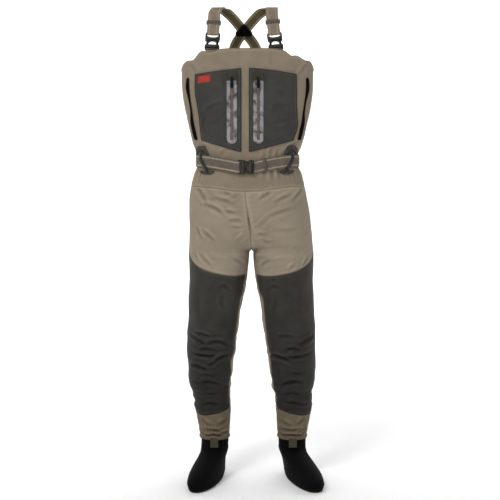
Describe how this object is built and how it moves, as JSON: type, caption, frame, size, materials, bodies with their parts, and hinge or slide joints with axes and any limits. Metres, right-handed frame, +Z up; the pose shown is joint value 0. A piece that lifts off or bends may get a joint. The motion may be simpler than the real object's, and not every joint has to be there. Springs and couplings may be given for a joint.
{
  "type": "chest waders",
  "caption": "Stockingfoot chest waders: cloth bib and trousers with gusseted legs, ankle cuffs, foam-rubber booties, buckled suspenders, zipped chest pockets and a waist belt.",
  "frame": {"origin": "on the floor under the middle of the bounding box, between the booties", "axes": "+Z up; the waders face -Y; +X is the wearer's left"},
  "size_m": [0.4393, 0.348, 1.4825],
  "materials": {
    "tan_cloth": "matt taupe woven laminate",
    "dark_cloth": "matt charcoal hard-wearing weave",
    "grey_cloth": "matt dark grey pocket cloth",
    "cuff_cloth": "matt brown gathered cloth",
    "neoprene": "black knit-faced neoprene",
    "sole_cloth": "olive textured sole",
    "webbing": "taupe webbing with pale stripes",
    "elastic": "olive-brown elastic webbing",
    "belt_web": "taupe belt webbing with pale stripes",
    "black_plastic": "moulded black plastic",
    "zip_film": "shiny grey welded film",
    "black_cloth": "black cloth",
    "loop_web": "dark olive-grey webbing"
  },
  "bodies": {
    "root": {"bib_front": "tan_cloth", "bib_back": "tan_cloth", "hip_front_left": "tan_cloth", "hip_front_right": "tan_cloth", "seat_left": "tan_cloth", "seat_right": "tan_cloth", "inseam_gusset_left": "tan_cloth", "inseam_gusset_right": "tan_cloth", "leg_panel_left": "dark_cloth", "leg_panel_right": "dark_cloth", "chest_pocket_left": "grey_cloth", "chest_pocket_right": "grey_cloth", "gravel_guard_left": "cuff_cloth", "gravel_guard_right": "cuff_cloth", "bootie_left": "neoprene", "bootie_right": "neoprene", "bootie_sole_left": "sole_cloth", "bootie_sole_right": "sole_cloth", "strap_front_left": "webbing", "strap_anchor_left": "webbing", "strap_front_right": "webbing", "strap_anchor_right": "webbing", "strap_back_left": "elastic", "strap_back_right": "elastic", "belt_webbing": "belt_web", "belt_buckle_socket": "black_plastic", "shoulder_buckle_left_socket": "black_plastic", "shoulder_buckle_right_socket": "black_plastic", "zip_strip_left": "zip_film", "zip_strip_right": "zip_film", "pocket_bag_left": "black_cloth", "pocket_bag_right": "black_cloth", "handwarmer_lining_left": "black_cloth", "handwarmer_lining_right": "black_cloth", "cross_patch": "black_cloth", "belt_loop_left": "loop_web", "belt_loop_right": "loop_web", "belt_loop_back": "loop_web"},
    "shoulder_plug_left": {"shoulder_buckle_left_plug": "black_plastic", "strap_loop_left": "webbing"},
    "shoulder_buckle_left_arm_outer": {"shoulder_buckle_left_arm_outer": "black_plastic"},
    "shoulder_buckle_left_arm_inner": {"shoulder_buckle_left_arm_inner": "black_plastic"},
    "tri_glide_left": {"tri_glide_left": "black_plastic"},
    "zip_slider_left": {"zip_slider_left": "black_plastic"},
    "zip_pull_left": {"zip_pull_left": "black_cloth"},
    "hook_tab_left": {"hook_tab_left": "loop_web"},
    "shoulder_plug_right": {"shoulder_buckle_right_plug": "black_plastic", "strap_loop_right": "webbing"},
    "shoulder_buckle_right_arm_inner": {"shoulder_buckle_right_arm_inner": "black_plastic"},
    "shoulder_buckle_right_arm_outer": {"shoulder_buckle_right_arm_outer": "black_plastic"},
    "tri_glide_right": {"tri_glide_right": "black_plastic"},
    "zip_slider_right": {"zip_slider_right": "black_plastic"},
    "zip_pull_right": {"zip_pull_right": "black_cloth"},
    "hook_tab_right": {"hook_tab_right": "loop_web"},
    "belt_plug": {"belt_buckle_plug": "black_plastic", "belt_fold": "belt_web"},
    "belt_buckle_arm_upper": {"belt_buckle_arm_upper": "black_plastic"},
    "belt_buckle_arm_lower": {"belt_buckle_arm_lower": "black_plastic"},
    "belt_keeper": {"belt_keeper": "loop_web"}
  },
  "joints": [
    {"name": "shoulder_buckle_left_release", "type": "slide", "parent": "root", "child": "shoulder_plug_left", "axis": [-0.0995, 0.4177, 0.9031], "range_m": [0, 0.024]},
    {"name": "shoulder_buckle_left_arm_outer_squeeze", "type": "hinge", "parent": "shoulder_plug_left", "child": "shoulder_buckle_left_arm_outer", "pos_m": [0.0832, -0.03275, 1.37083], "axis": [0, 0.9076, -0.4198], "range_deg": [0, 8], "stiffness_Nm_per_rad": 0.05},
    {"name": "shoulder_buckle_left_arm_inner_squeeze", "type": "hinge", "parent": "shoulder_plug_left", "child": "shoulder_buckle_left_arm_inner", "pos_m": [0.05733, -0.03383, 1.36848], "axis": [0, 0.9076, -0.4198], "range_deg": [-8, 0], "stiffness_Nm_per_rad": 0.05},
    {"name": "tri_glide_left_adjust", "type": "slide", "parent": "root", "child": "tri_glide_left", "axis": [-0.0995, 0.4177, 0.9031], "range_m": [0, 0.012]},
    {"name": "zip_slider_left_open", "type": "slide", "parent": "root", "child": "zip_slider_left", "axis": [0, 0.0384, -0.9993], "range_m": [0, 0.184]},
    {"name": "zip_pull_left_lift", "type": "hinge", "parent": "zip_slider_left", "child": "zip_pull_left", "pos_m": [0.01939, -0.07732, 1.257], "axis": [-1, 0, 0], "range_deg": [0, 165]},
    {"name": "hook_tab_left_flip", "type": "hinge", "parent": "root", "child": "hook_tab_left", "pos_m": [0.12668, -0.01068, 0.13], "axis": [-1, 0, 0], "range_deg": [0, 120]},
    {"name": "shoulder_buckle_right_release", "type": "slide", "parent": "root", "child": "shoulder_plug_right", "axis": [0.0499, 0.4193, 0.9065], "range_m": [0, 0.024]},
    {"name": "shoulder_buckle_right_arm_inner_squeeze", "type": "hinge", "parent": "shoulder_plug_right", "child": "shoulder_buckle_right_arm_inner", "pos_m": [-0.10759, -0.02701, 1.36918], "axis": [0, 0.9076, -0.4198], "range_deg": [0, 8], "stiffness_Nm_per_rad": 0.05},
    {"name": "shoulder_buckle_right_arm_outer_squeeze", "type": "hinge", "parent": "shoulder_plug_right", "child": "shoulder_buckle_right_arm_outer", "pos_m": [-0.13356, -0.02646, 1.37036], "axis": [0, 0.9076, -0.4198], "range_deg": [-8, 0], "stiffness_Nm_per_rad": 0.05},
    {"name": "tri_glide_right_adjust", "type": "slide", "parent": "root", "child": "tri_glide_right", "axis": [0.0499, 0.4193, 0.9065], "range_m": [0, 0.012]},
    {"name": "zip_slider_right_open", "type": "slide", "parent": "root", "child": "zip_slider_right", "axis": [0, 0.0384, -0.9993], "range_m": [0, 0.184]},
    {"name": "zip_pull_right_lift", "type": "hinge", "parent": "zip_slider_right", "child": "zip_pull_right", "pos_m": [-0.06112, -0.07649, 1.257], "axis": [-1, 0, 0], "range_deg": [0, 165]},
    {"name": "hook_tab_right_flip", "type": "hinge", "parent": "root", "child": "hook_tab_right", "pos_m": [-0.11628, -0.01068, 0.13], "axis": [-1, 0, 0], "range_deg": [0, 120]},
    {"name": "belt_buckle_release", "type": "slide", "parent": "root", "child": "belt_plug", "axis": [-1, 0, 0], "range_m": [0, 0.024]},
    {"name": "belt_buckle_arm_upper_squeeze", "type": "hinge", "parent": "belt_plug", "child": "belt_buckle_arm_upper", "pos_m": [-0.0248, -0.06821, 0.996], "axis": [0, 1, 0], "range_deg": [0, 8], "stiffness_Nm_per_rad": 0.05},
    {"name": "belt_buckle_arm_lower_squeeze", "type": "hinge", "parent": "belt_plug", "child": "belt_buckle_arm_lower", "pos_m": [-0.0248, -0.06821, 0.97], "axis": [0, 1, 0], "range_deg": [-8, 0], "stiffness_Nm_per_rad": 0.05},
    {"name": "belt_keeper_adjust", "type": "slide", "parent": "root", "child": "belt_keeper", "axis": [-0.9712, -0.1159, -0.208], "range_m": [-0.004, 0.004]}
  ],
  "couplings": [
    {"joint": "shoulder_buckle_left_arm_inner_squeeze", "follows": "shoulder_buckle_left_arm_outer_squeeze", "ratio": -1},
    {"joint": "shoulder_buckle_right_arm_outer_squeeze", "follows": "shoulder_buckle_right_arm_inner_squeeze", "ratio": -1},
    {"joint": "belt_buckle_arm_lower_squeeze", "follows": "belt_buckle_arm_upper_squeeze", "ratio": -1}
  ]
}
